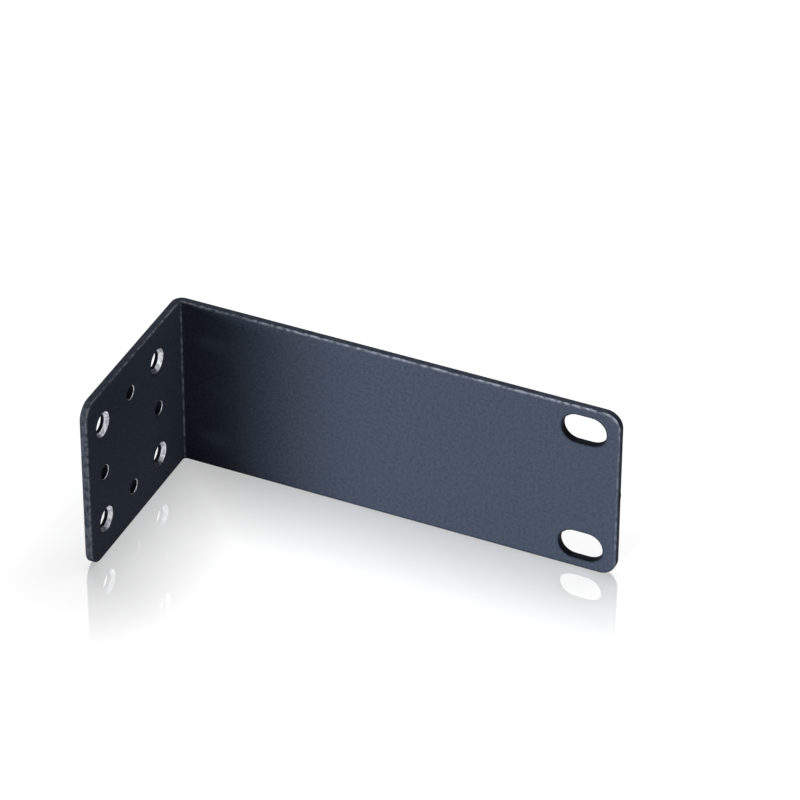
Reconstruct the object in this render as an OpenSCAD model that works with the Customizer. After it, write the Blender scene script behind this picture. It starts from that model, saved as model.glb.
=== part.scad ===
// Ear bracket that carries a narrow one-unit device in a rack.
// It is one folded steel sheet: the short flange screws to the side of the
// device, and the long flange, with two slots near its end, bolts to the
// rack's post.
// Frame: X runs along the long flange, -Y along the short flange, Z is up.
// The origin is at the middle of the bracket's box, on its lower edges.

/* [Sheet] */
// Thickness of the coated sheet
sheet_t = 1.8; // [1:0.1:2.4]
// Height of both flanges, one rack unit less its clearance
height = 44; // [43:0.5:60]
// Length of the long flange, from the short flange's inner face
long_l = 107; // [80:1:140]
// Length of the short flange, from the long flange's inner face
short_l = 45.8; // [44:0.1:70]

/* [Bend, corners and edges] */
// Radius on the inside of the bend
bend_r = 0.8; // [0.5:0.1:2]
// Radius of the four free corners
corner_r = 4; // [2:0.1:4.5]
// Radius that the coat leaves on the sheared edges
edge_r = 0.3; // [0.1:0.05:0.45]

/* [Rack slots] */
// Distance between the slots, centre to centre
slot_spacing = 31.75; // [29:0.25:33]
// End-to-end length of each slot
slot_l = 10.5; // [9:0.1:12]
// Width of each slot
slot_w = 7.3; // [6:0.1:8]
// From the slots' centres to the long flange's free end
slot_inset = 8.55; // [8:0.05:12]

/* [Device screw holes] */
// Hole-to-hole distance along the short flange
screw_dy = 26.5; // [24:0.1:28]
// Hole-to-hole distance up the short flange
screw_dz = 26; // [24:0.1:28]
// From the middle of the screw holes to the short flange's free end
screw_inset = 20.7; // [19:0.1:22]
// Diameter of the straight part of each screw hole
screw_hole_d = 4.3; // [3:0.1:4.5]
// Diameter of the countersink at the sheet's inner face
sink_d = 6.2; // [5:0.1:8]
// Angle between the countersink's sides
sink_angle = 90; // [80:1:100]

/* [Pilot holes] */
// Diameter of the plain holes between the screw holes
pilot_d = 3.4; // [2.5:0.1:4]

/* [Shear nibs] */
// Height that the blank's broken tabs stand proud of an edge
nib_h = 0.2; // [0.05:0.05:0.4]
// Length of each tab's stub along the edge
nib_l = 2.2; // [1:0.1:4]

/* [Hidden] */
$fn = 64;
// how far a cutter passes the face that it opens through
past = 1;
box_x = long_l + sheet_t;
box_y = short_l + sheet_t;
sink_slope = tan(sink_angle / 2);
// radius of the circle whose cap is a nib
nib_r = (nib_l * nib_l / 4 + nib_h * nib_h) / (2 * nib_h);
// a nib is half as thick as the sheet
nib_w = sheet_t / 2;

// Section across a flange: thickness along X, height along Y
module sheet_profile() {
    translate([edge_r, 0])
        square([sheet_t - 2 * edge_r, height]);
    translate([0, edge_r])
        square([sheet_t, height - 2 * edge_r]);
    for (x = [edge_r, sheet_t - edge_r], y = [edge_r, height - edge_r])
        translate([x, y])
            circle(edge_r);
}

// Section through a free edge: sheet of length l along X with a rounded end
module rim_profile(l) {
    square([l - edge_r, sheet_t]);
    translate([l - edge_r, edge_r])
        square([edge_r, sheet_t - 2 * edge_r]);
    for (y = [edge_r, sheet_t - edge_r])
        translate([l - edge_r, y])
            circle(edge_r);
}

// Quarter disc that closes a free corner, centred on the corner's axis
module corner() {
    rotate([-90, 0, 0])
        rotate_extrude(angle = 90)
            rim_profile(corner_r);
}

// Flat flange along +X, from the end of the bend to a free end at x = l.
// Its inner face is at y = 0 and its thickness runs towards +Y.
module flange(l) {
    straight_l = l - corner_r - bend_r;
    translate([bend_r, 0, 0])
        rotate([90, 0, 90])
            linear_extrude(straight_l)
                sheet_profile();
    translate([l - corner_r, 0, corner_r]) {
        linear_extrude(height - 2 * corner_r)
            rim_profile(corner_r);
        corner();
    }
    translate([l - corner_r, 0, height - corner_r])
        rotate([0, -90, 0])
            corner();
}

// Quarter turn of the sheet that joins the two flanges
module bend() {
    translate([bend_r, -bend_r, 0])
        rotate([0, 0, 90])
            rotate_extrude(angle = 90)
                translate([bend_r, 0])
                    sheet_profile();
}

// Lays what was drawn along the long flange along the short one
module on_short_flange() {
    mirror([1, 1, 0])
        children();
}

// Turns a cutter's +Z into the sheet, through the inner face of a flange
module into_sheet() {
    rotate([-90, 0, 0])
        children();
}

module round_hole(d) {
    into_sheet()
        translate([0, 0, -past])
            cylinder(h = sheet_t + 2 * past, d = d);
}

// Conical seat for a flat screw head, opening at the inner face
module countersink() {
    into_sheet()
        translate([0, 0, -past])
            cylinder(h = past + sink_d / 2 / sink_slope, r1 = sink_d / 2 + past * sink_slope, r2 = 0);
}

module slot() {
    into_sheet()
        translate([0, 0, -past])
            linear_extrude(sheet_t + 2 * past) {
                square([slot_l - slot_w, slot_w], center = true);
                for (side = [-1, 1])
                    translate([side * (slot_l - slot_w) / 2, 0])
                        circle(d = slot_w);
            }
}

module rack_slots() {
    for (side = [-1, 1])
        translate([long_l - slot_inset, 0, height / 2 + side * slot_spacing / 2])
            slot();
}

// Countersunk screw holes at the corners of a rectangle, with a pilot hole
// at the middle of each of its sides
module device_holes() {
    translate([short_l - screw_inset, 0, height / 2])
        for (side = [-1, 1]) {
            for (end = [-1, 1])
                translate([side * screw_dy / 2, 0, end * screw_dz / 2]) {
                    round_hole(screw_hole_d);
                    countersink();
                }
            translate([side * screw_dy / 2, 0, 0])
                round_hole(pilot_d);
            translate([0, 0, side * screw_dz / 2])
                round_hole(pilot_d);
        }
}

// Stub of a broken tab, standing proud of an edge whose outward side is +Z
module nib() {
    translate([0, (sheet_t - nib_w) / 2, nib_h - nib_r])
        rotate([-90, 0, 0])
            cylinder(h = nib_w, r = nib_r);
}

// Nib at the middle of a flange's free end
module end_nib(l) {
    translate([l, 0, height / 2])
        rotate([0, 90, 0])
            nib();
}

module ear_bracket() {
    color([0.16, 0.17, 0.2])
        translate([sheet_t - box_x / 2, short_l - box_y / 2, 0])
            difference() {
                union() {
                    bend();
                    flange(long_l);
                    on_short_flange()
                        flange(short_l);
                    translate([long_l / 2, 0, height])
                        nib();
                    end_nib(long_l);
                    on_short_flange()
                        end_nib(short_l);
                }
                rack_slots();
                on_short_flange()
                    device_holes();
            }
}

ear_bracket();
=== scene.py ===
import math

import bmesh
import bpy
from mathutils import Matrix, Vector


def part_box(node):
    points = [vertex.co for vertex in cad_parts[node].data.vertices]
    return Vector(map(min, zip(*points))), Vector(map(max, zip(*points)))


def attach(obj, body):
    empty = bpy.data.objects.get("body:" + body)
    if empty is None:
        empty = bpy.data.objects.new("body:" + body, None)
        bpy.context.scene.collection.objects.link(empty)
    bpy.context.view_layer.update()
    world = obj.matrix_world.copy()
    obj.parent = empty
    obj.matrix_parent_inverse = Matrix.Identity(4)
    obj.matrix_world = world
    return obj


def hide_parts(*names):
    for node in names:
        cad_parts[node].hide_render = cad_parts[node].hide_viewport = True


# Lengths are in metres and angles in degrees, unless a name says otherwise.
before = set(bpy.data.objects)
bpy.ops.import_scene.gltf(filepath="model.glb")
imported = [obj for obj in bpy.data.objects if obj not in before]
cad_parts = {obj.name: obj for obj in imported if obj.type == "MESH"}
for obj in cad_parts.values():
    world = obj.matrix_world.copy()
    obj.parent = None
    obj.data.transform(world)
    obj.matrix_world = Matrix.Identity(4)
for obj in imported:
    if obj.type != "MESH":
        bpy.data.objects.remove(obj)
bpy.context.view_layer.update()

# The sheet and its fold
SHEET_T = 0.0018
BEND_R = 0.0008
BEND_ARC = (BEND_R + SHEET_T / 2) * math.pi / 2
CORNER_R = 0.004
EDGE_R = 0.0003
NIB_H = 0.0002
NIB_L = 0.0022
# The rack slots
SLOT_SPACING = 0.03175
SLOT_L = 0.0105
SLOT_W = 0.0073
SLOT_INSET = 0.00855
# The holes for the device's screws, and the pilot holes between them
SCREW_DY = 0.0265
SCREW_DZ = 0.026
SCREW_INSET = 0.0207
SCREW_HOLE_D = 0.0043
SINK_D = 0.0062
SINK_ANGLE = 90
PILOT_D = 0.0034
# Radius of the rims of the holes
RIM_R = 0.0002
# Width of the strip beside an edge over which its painted light and shade fade, and their
# share there
SIDE_W = 0.0004
SIDE_PAINTED_SHARE = 0.5

# Sizes that follow from the frame. The node's box holds the nibs.
low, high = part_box("ear_bracket")
INNER_X = low.x + SHEET_T
INNER_Y = high.y - SHEET_T
HEIGHT = high.z - NIB_H
LONG_FLAT = high.x - NIB_H - INNER_X - BEND_R
SHORT_FLAT = INNER_Y - BEND_R - low.y - NIB_H
# On the flat blank, u runs along the long flange from the end of the bend
LONG_END = LONG_FLAT
SHORT_END = -BEND_ARC - SHORT_FLAT

# Painted light and shade on the coat, first along the inner edge and then on the cut face, for
# what faces the short flange's end, the long one's end, up and down. Above 0 a lighter coat
# colour is painted where highlights fall on the edges and the fold, and below 0 a dark colour
# is painted where shade falls, on down-facing edges and inside the holes.
# The blank's edge: painted highlights on edges facing up and toward the ends, painted shade on
# edges facing down and on the long end's cut face
RIM_PAINTED_LIGHT = ((1.0, 0.55, 1.0, -0.9), (0.35, -0.6, 0.08, -0.7))
# The holes get painted shade only: darker rims and walls where shade falls inside them
SLOT_PAINTED_SHADE = ((-0.9, -0.9, -0.9, -0.9), (-0.8, -0.8, -0.8, -0.8))
PILOT_PAINTED_SHADE = ((-0.6, -0.6, -0.6, -0.6), (-0.9, -0.9, -0.9, -0.9))
SINK_PAINTED_SHADE = ((-0.5, -0.5, -0.5, -0.5), (-0.9, -0.9, -0.9, -0.9))
# A painted highlight along the middle of the fold's inner face, and none on its outer face
FOLD_PAINTED_HIGHLIGHT = (1.0, 0.0)

# The nib rows' depths as shares of the sheet's thickness, and how far each stands out
NIB_ROWS = ((0.25, 0), (0.3, 1), (0.7, 1), (0.75, 0))

# How finely the curves are divided
ARC_STEPS = 16
BEND_STEPS = 10
EDGE_STEPS = 5
NIB_STEPS = 8
HOLE_STEPS = 48
# Rows of a wall, counted from its strip on the inner face, that are bare steel: the rim
# of a pilot hole, and the cone of a countersink
PILOT_BARE = range(2, EDGE_STEPS)
SINK_BARE = (EDGE_STEPS + 1,)


def fold(u, depth, z, normal):
    """The place and normal, on the folded sheet, of a point of the flat blank.

    depth is measured from the inner face. The normal is along u, depth and z.
    """
    turn = min(max(-u / BEND_ARC, 0), 1) * math.pi / 2
    past_bend = max(u, 0) + min(u + BEND_ARC, 0)
    along = Vector((math.cos(turn), math.sin(turn), 0))
    outward = Vector((-math.sin(turn), math.cos(turn), 0))
    centre = Vector((INNER_X + BEND_R, INNER_Y - BEND_R, z))
    place = centre + (BEND_R + depth) * outward + past_bend * along
    return place, normal[0] * along + normal[1] * outward + Vector((0, 0, normal[2]))


def arc(centre, radius, start, end, steps, facing=1):
    """Points of a path on an arc. facing -1 is for a hole, whose rim faces its centre."""
    points = []
    for k in range(steps + 1):
        angle = math.radians(start + (end - start) * k / steps)
        out = Vector((math.cos(angle), math.sin(angle)))
        points.append((centre + radius * out, facing * out, 0))
    return points


def nib(centre, along, out):
    """Points of a path over the stub of a broken tab."""
    points = []
    for k in range(NIB_STEPS + 1):
        share = 2 * k / NIB_STEPS - 1
        points.append((centre + share * NIB_L / 2 * along, out, NIB_H * (1 - share * share)))
    return points


def bend_edge(z, out, backward):
    """Points of a path along an edge of the bend."""
    steps = [k / BEND_STEPS for k in range(BEND_STEPS + 1)]
    if backward:
        steps.reverse()
    return [(Vector(((k - 1) * BEND_ARC, z)), out, 0) for k in steps]


def blank_outline():
    """The blank's outline, with where each stretch over the bend starts."""
    left, right = SHORT_END + CORNER_R, LONG_END - CORNER_R
    lower, upper = CORNER_R, HEIGHT - CORNER_R
    x, z = Vector((1, 0)), Vector((0, 1))
    path = arc(Vector((left, lower)), CORNER_R, 180, 270, ARC_STEPS)
    lower_bend = len(path)
    path += bend_edge(0, -z, False)
    path += arc(Vector((right, lower)), CORNER_R, 270, 360, ARC_STEPS)
    path += nib(Vector((LONG_END, HEIGHT / 2)), z, x)
    path += arc(Vector((right, upper)), CORNER_R, 0, 90, ARC_STEPS)
    path += nib(Vector(((LONG_END - BEND_R) / 2, HEIGHT)), -x, z)
    upper_bend = len(path)
    path += bend_edge(HEIGHT, z, True)
    path += arc(Vector((left, upper)), CORNER_R, 90, 180, ARC_STEPS)
    path += nib(Vector((SHORT_END, HEIGHT / 2)), -z, -x)
    return path, lower_bend, upper_bend


def hole_outline(centre, diameter):
    return arc(centre, diameter / 2, 0, 360, HOLE_STEPS, -1)[:-1]


def slot_outline(centre):
    reach = Vector(((SLOT_L - SLOT_W) / 2, 0))
    half = HOLE_STEPS // 2
    right = arc(centre + reach, SLOT_W / 2, -90, 90, half, -1)
    return right + arc(centre - reach, SLOT_W / 2, 90, 270, half, -1)


def rounded(corners, radii, cut):
    """Rows of a wall's profile: an arc at each corner but the first and last.

    A corner is its inset from the path and its depth in the sheet. cut is 1 for a
    stretch between corners that is a cut face, and 0 for another. A row is inset,
    depth, the normal along both, the share of a nib that it takes, how near it is to
    the middle of the inner edge, and how much of it is cut face.
    """
    rows = [(radii[0] + corners[1].x + SIDE_W, 0, 0, -1, 0, 0, 0)]
    for n, radius in enumerate(radii):
        before, corner, after = corners[n : n + 3]
        come = (corner - before).normalized()
        go = (after - corner).normalized()
        turn = come.angle_signed(go)
        start = corner - come * radius * math.tan(turn / 2)
        normal = Vector((-come.y, come.x))
        centre = start - radius * normal
        for k in range(EDGE_STEPS + 1):
            share = k / EDGE_STEPS
            way = normal.copy()
            way.rotate(Matrix.Rotation(-turn * share, 2))
            spot = centre + radius * way
            edge = max(math.sin(math.pi * share), (1 - share) * SIDE_PAINTED_SHARE) if n == 0 else 0
            rows.append((*spot, *way, 0, edge, cut[n] + (cut[n + 1] - cut[n]) * share))
    return rows


PLAIN_CORNERS = [Vector(c) for c in ((1, 0), (0, 0), (0, SHEET_T), (1, SHEET_T))]


def rim_profile():
    """Profile of the blank's edge, with the rows that carry the nibs."""
    rows = rounded(PLAIN_CORNERS, (EDGE_R, EDGE_R), (0, 1, 0))
    nib_rows = []
    for share, nib_share in NIB_ROWS:
        nib_rows.append((0, share * SHEET_T, -1, 0, nib_share, 0, 1))
    return rows[: EDGE_STEPS + 2] + nib_rows + rows[EDGE_STEPS + 2 :]


def hole_profile():
    return rounded(PLAIN_CORNERS, (RIM_R, RIM_R), (0, 1, 0))


def sink_profile():
    """Profile of a countersunk hole, measured from its straight part."""
    inset = (SINK_D - SCREW_HOLE_D) / 2
    depth = inset / math.tan(math.radians(SINK_ANGLE / 2))
    corners = [Vector(c) for c in ((1, 0), (inset, 0), (0, depth), (0, SHEET_T), (1, SHEET_T))]
    return rounded(corners, (RIM_R, RIM_R, RIM_R), (0, 0, 1, 0))


def weighed(out, sides):
    """The share of four values, for what faces the short end, the long end, up and down."""
    facing = (-out.x, out.x, out.y, -out.y)
    return sum(value * max(share, 0) for value, share in zip(sides, facing))


class Sheet:
    """The folded sheet as one closed mesh, with its own normals and painted light and shade.
    """

    def __init__(self):
        self.mesh = bmesh.new()
        self.normals = []
        self.painted_light_and_shade = self.mesh.verts.layers.float.new("painted_light_and_shade")

    def wall(self, path, profile, painted_tone, bare_rows=()):
        """The faces round one outline, from the inner face to the outer one."""
        rings = []
        for inset, depth, n_inset, n_depth, nib_share, edge, cut in profile:
            ring = []
            for (u, z), out, bulge in path:
                move = nib_share * bulge - inset
                flat = (-n_inset * out.x, n_depth, -n_inset * out.y)
                place, normal = fold(u + move * out.x, depth, z + move * out.y, flat)
                vertex = self.mesh.verts.new(place)
                # Painted light and shade of this vertex: painted highlight above 0, painted
                # shade below 0
                vertex[self.painted_light_and_shade] = edge * weighed(out, painted_tone[0]) + cut * weighed(out, painted_tone[1])
                ring.append(vertex)
                self.normals.append(normal)
            rings.append(ring)
        for row, (upper, lower) in enumerate(zip(rings, rings[1:])):
            for k in range(len(path)):
                quad = (upper[k - 1], upper[k], lower[k], lower[k - 1])
                self.mesh.faces.new(quad).material_index = int(row in bare_rows)
        return rings[0], rings[-1]

    def bend(self, ring, lower_start, upper_start, painted_tone):
        """The faces of one side of the bend, with a painted highlight along its middle."""
        below = ring[lower_start : lower_start + BEND_STEPS + 1]
        above = ring[upper_start : upper_start + BEND_STEPS + 1][::-1]
        for k in range(BEND_STEPS):
            self.mesh.faces.new((below[k], below[k + 1], above[k + 1], above[k]))
        for end in (below, above):
            for vertex in end[BEND_STEPS // 2 - 1 : BEND_STEPS // 2 + 2]:
                vertex[self.painted_light_and_shade] = painted_tone

    def fill(self, rings):
        """Triangles over the flat faces, between the open edges of the rings."""
        members = {v for ring in rings for v in ring}
        edges = [e for e in self.mesh.edges if e.is_boundary and members.issuperset(e.verts)]
        bmesh.ops.triangle_fill(self.mesh, use_beauty=True, edges=edges)

    def finish(self, name):
        bmesh.ops.recalc_face_normals(self.mesh, faces=self.mesh.faces)
        data = bpy.data.meshes.new(name)
        self.mesh.to_mesh(data)
        self.mesh.free()
        data.polygons.foreach_set("use_smooth", [True] * len(data.polygons))
        data.normals_split_custom_set_from_vertices(self.normals)
        piece = bpy.data.objects.new(name, data)
        bpy.context.scene.collection.objects.link(piece)
        return piece


def make_sheet():
    sheet = Sheet()
    path, lower_bend, upper_bend = blank_outline()
    outline = sheet.wall(path, rim_profile(), RIM_PAINTED_LIGHT)
    long_holes = []
    for side in (-1, 1):
        centre = Vector((LONG_END - SLOT_INSET, HEIGHT / 2 + side * SLOT_SPACING / 2))
        long_holes.append(sheet.wall(slot_outline(centre), hole_profile(), SLOT_PAINTED_SHADE))
    short_holes = []
    middle = Vector((SHORT_END + SCREW_INSET, HEIGHT / 2))
    for across in (-1, 0, 1):
        for up in (-1, 0, 1):
            centre = middle + Vector((across * SCREW_DY / 2, up * SCREW_DZ / 2))
            if across and up:
                path = hole_outline(centre, SCREW_HOLE_D)
                short_holes.append(sheet.wall(path, sink_profile(), SINK_PAINTED_SHADE, SINK_BARE))
            elif across or up:
                path = hole_outline(centre, PILOT_D)
                short_holes.append(sheet.wall(path, hole_profile(), PILOT_PAINTED_SHADE, PILOT_BARE))
    for face in (0, 1):
        ring = outline[face]
        # The fold's painted highlight goes on the inner face only
        sheet.bend(ring, lower_bend, upper_bend, FOLD_PAINTED_HIGHLIGHT[face])
        long_side = ring[lower_bend + BEND_STEPS : upper_bend + 1]
        short_side = ring[: lower_bend + 1] + ring[upper_bend + BEND_STEPS :]
        sheet.fill([long_side] + [hole[face] for hole in long_holes])
        sheet.fill([short_side] + [hole[face] for hole in short_holes])
    return sheet.finish("ear_bracket_sheet")


# Materials. Noise scales are features a metre, bump heights are metres and colours are
# linear.
GRAIN_SCALE = 1500
GRAIN_BUMP = 0.00003
GRAIN_COLOURS = ((0.35, (0.043, 0.056, 0.083)), (0.65, (0.060, 0.075, 0.111)))
FINE_SCALE = 4200
FINE_BUMP = 0.000008
COAT_ROUGHNESS = 0.75
COAT_SPECULAR = 0.05
# Lighter coat colour of the painted highlights on edges and the fold, and near-black of the
# painted shade at down-facing edges and in the holes
PAINTED_HIGHLIGHT_COLOUR = (0.34, 0.37, 0.44)
PAINTED_SHADE_COLOUR = (0.004, 0.005, 0.008)
# The painted highlight comes in patches, between the first share of it and the whole
PATCH_SCALE = 850
PATCH_SHARES = ((0.4, (0.15, 0.15, 0.15)), (0.58, (1, 1, 1)))
STEEL_SCALE = 1100
STEEL_COLOURS = ((0.4, (0.3, 0.31, 0.34)), (0.58, (0.62, 0.63, 0.67)))
STEEL_ROUGHNESS = 0.35
FLOOR_COLOUR = (0.8, 0.8, 0.8, 1)
FLOOR_GLOW = 0.8
# The floor mirrors what stands on it, and the mirror image fades with the distance
MIRROR_SHARE = 0.43
MIRROR_REACH = 0.0315
MIRROR_ROUGHNESS = 0.02
WORLD_LIGHT = 0.02
# Places of a Mix node's factor and two colours, and of its mixed colour
MIX_SOCKETS = (0, 6, 7)
MIX_RESULT = 2


def new_material(name):
    material = bpy.data.materials.new(name)
    material.use_nodes = True
    tree = material.node_tree
    return material, tree, tree.nodes["Principled BSDF"]


def noise(tree, scale, detail):
    """Noise over the object's own coordinates."""
    place = tree.nodes.new("ShaderNodeTexCoord")
    texture = tree.nodes.new("ShaderNodeTexNoise")
    texture.inputs["Scale"].default_value = scale
    texture.inputs["Detail"].default_value = detail
    tree.links.new(place.outputs["Object"], texture.inputs["Vector"])
    return texture.outputs["Fac"]


def joined(tree, kind, operation, *values):
    """The output of a node of a kind over values, which are sockets or constants."""
    node = tree.nodes.new(kind)
    node.operation = operation
    for socket, value in zip(node.inputs, values):
        if isinstance(value, bpy.types.NodeSocket):
            tree.links.new(value, socket)
        else:
            socket.default_value = value
    return node.outputs["Value" if operation == "LENGTH" else 0]


def maths(tree, operation, *values):
    return joined(tree, "ShaderNodeMath", operation, *values)


def vector_maths(tree, operation, *values):
    return joined(tree, "ShaderNodeVectorMath", operation, *values)


def bump(tree, height, distance, below=None):
    node = tree.nodes.new("ShaderNodeBump")
    node.inputs["Distance"].default_value = distance
    tree.links.new(height, node.inputs["Height"])
    if below:
        tree.links.new(below, node.inputs["Normal"])
    return node.outputs["Normal"]


def ramp(tree, factor, stops):
    node = tree.nodes.new("ShaderNodeValToRGB")
    tree.links.new(factor, node.inputs["Fac"])
    for element, (place, colour) in zip(node.color_ramp.elements, stops):
        element.position = place
        element.color = (*colour, 1)
    return node.outputs["Color"]


def mixed(tree, share, plain, other):
    """The colour between plain, a socket, and other, a colour."""
    node = tree.nodes.new("ShaderNodeMix")
    node.data_type = "RGBA"
    factor, first, second = (node.inputs[k] for k in MIX_SOCKETS)
    tree.links.new(share, factor)
    tree.links.new(plain, first)
    second.default_value = (*other, 1)
    return node.outputs[MIX_RESULT]


def coat_material():
    """Satin powder coat: near-black with a blue cast, a fine grain, painted highlights on
    edges and the fold, and painted shade at down-facing edges and in the holes.
    """
    material, tree, shader = new_material("coat")
    grain = noise(tree, GRAIN_SCALE, 2)
    fine = noise(tree, FINE_SCALE, 2)
    colour = ramp(tree, grain, GRAIN_COLOURS)
    painted_light_and_shade = tree.nodes.new("ShaderNodeAttribute")
    painted_light_and_shade.attribute_name = "painted_light_and_shade"
    patches = ramp(tree, noise(tree, PATCH_SCALE, 4), PATCH_SHARES)
    # Painted highlight: above 0 the attribute lightens the coat in patches along edges and the
    # fold
    painted_tone = maths(tree, "MAXIMUM", painted_light_and_shade.outputs["Fac"], 0)
    painted_tone = maths(tree, "MULTIPLY", painted_tone, patches)
    # Painted shade: below 0 the attribute darkens the coat at down-facing edges and inside the
    # holes
    painted_shade = maths(tree, "MULTIPLY", painted_light_and_shade.outputs["Fac"], -1)
    painted_shade = maths(tree, "MAXIMUM", painted_shade, 0)
    colour = mixed(tree, painted_shade, colour, PAINTED_SHADE_COLOUR)
    colour = mixed(tree, painted_tone, colour, PAINTED_HIGHLIGHT_COLOUR)
    tree.links.new(colour, shader.inputs["Base Color"])
    normal = bump(tree, grain, GRAIN_BUMP)
    normal = bump(tree, fine, FINE_BUMP, normal)
    tree.links.new(normal, shader.inputs["Normal"])
    shader.inputs["Roughness"].default_value = COAT_ROUGHNESS
    shader.inputs["Specular IOR Level"].default_value = COAT_SPECULAR
    return material


def steel_material():
    """Bare steel, as the countersinking tool leaves it."""
    material, tree, shader = new_material("bare_steel")
    marks = ramp(tree, noise(tree, STEEL_SCALE, 3), STEEL_COLOURS)
    tree.links.new(marks, shader.inputs["Base Color"])
    shader.inputs["Metallic"].default_value = 1
    shader.inputs["Roughness"].default_value = STEEL_ROUGHNESS
    return material


def seen_directly(tree):
    """1 for a ray from the camera, a reflection or a pane of glass, and 0 for another."""
    path = tree.nodes.new("ShaderNodeLightPath")
    outputs = [path.outputs[f"Is {kind} Ray"] for kind in ("Camera", "Glossy", "Transmission")]
    first = maths(tree, "MAXIMUM", outputs[0], outputs[1])
    return maths(tree, "MAXIMUM", first, outputs[2])


def distance_to_box(tree, place, corner, far_corner):
    """Distance on the floor from a place to a rectangle."""
    centre, half = (corner + far_corner) / 2, (far_corner - corner) / 2
    offset = vector_maths(tree, "SUBTRACT", place, centre)
    size = vector_maths(tree, "ABSOLUTE", offset)
    past = vector_maths(tree, "SUBTRACT", size, half)
    outside = vector_maths(tree, "MAXIMUM", past, Vector((0, 0, 0)))
    return vector_maths(tree, "LENGTH", outside)


def floor_material():
    """White glossy floor that shows the foot of the object mirrored."""
    material, tree, shader = new_material("floor")
    tree.nodes.remove(shader)
    place = tree.nodes.new("ShaderNodeNewGeometry").outputs["Position"]
    long_corners = Vector((low.x, INNER_Y, 0)), Vector((high.x, high.y, 0))
    short_corners = Vector((low.x, low.y, 0)), Vector((INNER_X, high.y, 0))
    long_foot = distance_to_box(tree, place, *long_corners)
    short_foot = distance_to_box(tree, place, *short_corners)
    distance = maths(tree, "MINIMUM", long_foot, short_foot)
    ratio = maths(tree, "DIVIDE", distance, MIRROR_REACH)
    ratio = maths(tree, "MINIMUM", ratio, 1)
    near = maths(tree, "SUBTRACT", 1, ratio)
    seen = seen_directly(tree)
    share = maths(tree, "MULTIPLY", near, MIRROR_SHARE)
    share = maths(tree, "MULTIPLY", share, seen)
    plain = tree.nodes.new("ShaderNodeBsdfDiffuse")
    plain.inputs["Color"].default_value = FLOOR_COLOUR
    glow = tree.nodes.new("ShaderNodeEmission")
    strength = maths(tree, "MULTIPLY", seen, FLOOR_GLOW)
    tree.links.new(strength, glow.inputs["Strength"])
    both = tree.nodes.new("ShaderNodeAddShader")
    tree.links.new(plain.outputs[0], both.inputs[0])
    tree.links.new(glow.outputs[0], both.inputs[1])
    mirror = tree.nodes.new("ShaderNodeBsdfGlossy")
    mirror.inputs["Roughness"].default_value = MIRROR_ROUGHNESS
    mix = tree.nodes.new("ShaderNodeMixShader")
    tree.links.new(share, mix.inputs["Fac"])
    tree.links.new(both.outputs[0], mix.inputs[1])
    tree.links.new(mirror.outputs[0], mix.inputs[2])
    tree.links.new(mix.outputs[0], tree.nodes["Material Output"].inputs["Surface"])
    return material


# The stage, the lights and the camera

CAMERA_AZIMUTH = 24.202
CAMERA_ELEVATION = 35.887
CAMERA_ROLL = 0.217
CAMERA_TARGET = Vector((-0.00442, 0.03566, 0.022))
CAMERA_DISTANCE = 1.05
CAMERA_LENS_MM = 208.86


def toward(azimuth, elevation):
    """The direction of an azimuth, 0 along -Y and 90 along X, and an elevation."""
    azimuth, elevation = math.radians(azimuth), math.radians(elevation)
    level = Vector((math.sin(azimuth), -math.cos(azimuth), 0))
    return math.cos(elevation) * level + Vector((0, 0, math.sin(elevation)))


def add_camera():
    back = toward(CAMERA_AZIMUTH, CAMERA_ELEVATION)
    right = toward(CAMERA_AZIMUTH + 90, 0)
    up = back.cross(right)
    turn = Matrix((right, up, back)).transposed().to_4x4()
    camera = bpy.data.objects.new("camera", bpy.data.cameras.new("camera"))
    camera.data.lens = CAMERA_LENS_MM
    place = Matrix.Translation(CAMERA_TARGET + CAMERA_DISTANCE * back)
    camera.matrix_world = place @ turn @ Matrix.Rotation(math.radians(CAMERA_ROLL), 4, "Z")
    bpy.context.scene.collection.objects.link(camera)
    bpy.context.scene.camera = camera


FLOOR_REACH = 4.0
LIGHT_DISTANCE = 1.5
GRID_DISTANCE = 0.6
# Half the width over which a gridded softbox fades out at its side
GRID_FADE = 0.026


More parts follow.
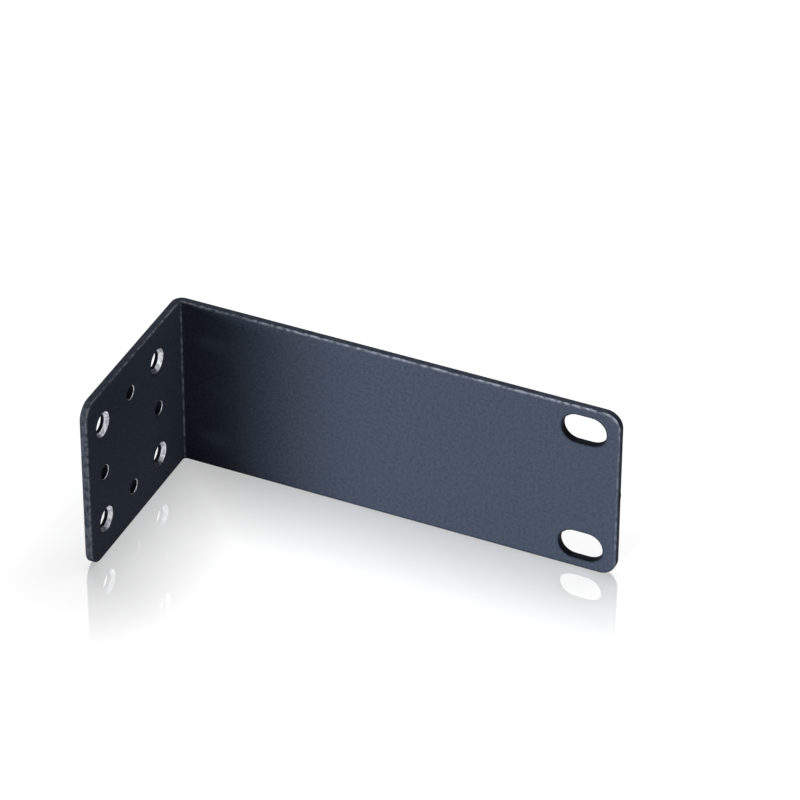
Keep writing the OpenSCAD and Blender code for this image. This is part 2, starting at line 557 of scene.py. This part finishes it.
def add_lamp(name, away, place, width, height, watts):
    lamp = bpy.data.lights.new(name, "AREA")
    lamp.shape = "RECTANGLE"
    lamp.size, lamp.size_y = width, height
    lamp.energy = watts
    box = bpy.data.objects.new(name, lamp)
    turn = away.to_track_quat("Z", "Y").to_matrix().to_4x4()
    box.matrix_world = Matrix.Translation(place) @ turn
    bpy.context.scene.collection.objects.link(box)
    return lamp


def softbox(name, azimuth, elevation, width, height, level):
    """A soft light that gives a white surface facing it a brightness of level."""
    away = toward(azimuth, elevation)
    watts = level * math.pi**2 * LIGHT_DISTANCE**2
    add_lamp(name, away, LIGHT_DISTANCE * away, width, height, watts)


def gridded_softbox(name, azimuth, elevation, middle, width, height, level):
    """A softbox behind a grid: a straight beam round middle with soft sides."""
    away = toward(azimuth, elevation)
    watts = level * math.pi * width * height
    lamp = add_lamp(name, away, middle + GRID_DISTANCE * away, width, height, watts)
    lamp.spread = 2 * math.atan(GRID_FADE / GRID_DISTANCE)


def add_floor():
    data = bpy.data.meshes.new("floor")
    signs = ((-1, -1), (1, -1), (1, 1), (-1, 1))
    corners = [(x * FLOOR_REACH, y * FLOOR_REACH, 0) for x, y in signs]
    data.from_pydata(corners, [], [(0, 1, 2, 3)])
    floor = bpy.data.objects.new("floor", data)
    data.materials.append(floor_material())
    bpy.context.scene.collection.objects.link(floor)


def add_world():
    """Dim light from all round, in front of a white background."""
    world = bpy.data.worlds.new("world")
    world.use_nodes = True
    tree = world.node_tree
    seen = maths(tree, "MAXIMUM", seen_directly(tree), WORLD_LIGHT)
    tree.nodes["Background"].inputs["Color"].default_value = (1, 1, 1, 1)
    tree.links.new(seen, tree.nodes["Background"].inputs["Strength"])
    bpy.context.scene.world = world


bracket = make_sheet()
bracket.data.materials.append(coat_material())
bracket.data.materials.append(steel_material())
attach(bracket, "root")
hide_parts("ear_bracket")

add_floor()
add_world()
softbox("front_left", -33, 4, 0.95, 0.16, 0.45)
softbox("top_light", 170, 74, 0.8, 0.8, 0.3)
front_middle = Vector((0.062, INNER_Y, HEIGHT / 2))
gridded_softbox("front", -5, 8, front_middle, 0.176, 0.16, 0.8)
right_middle = Vector((INNER_X, 0.04, HEIGHT / 2))
gridded_softbox("right", 86, 10, right_middle, 0.08, 0.16, 0.1)
add_camera()
bpy.context.scene.view_settings.view_transform = "Standard"
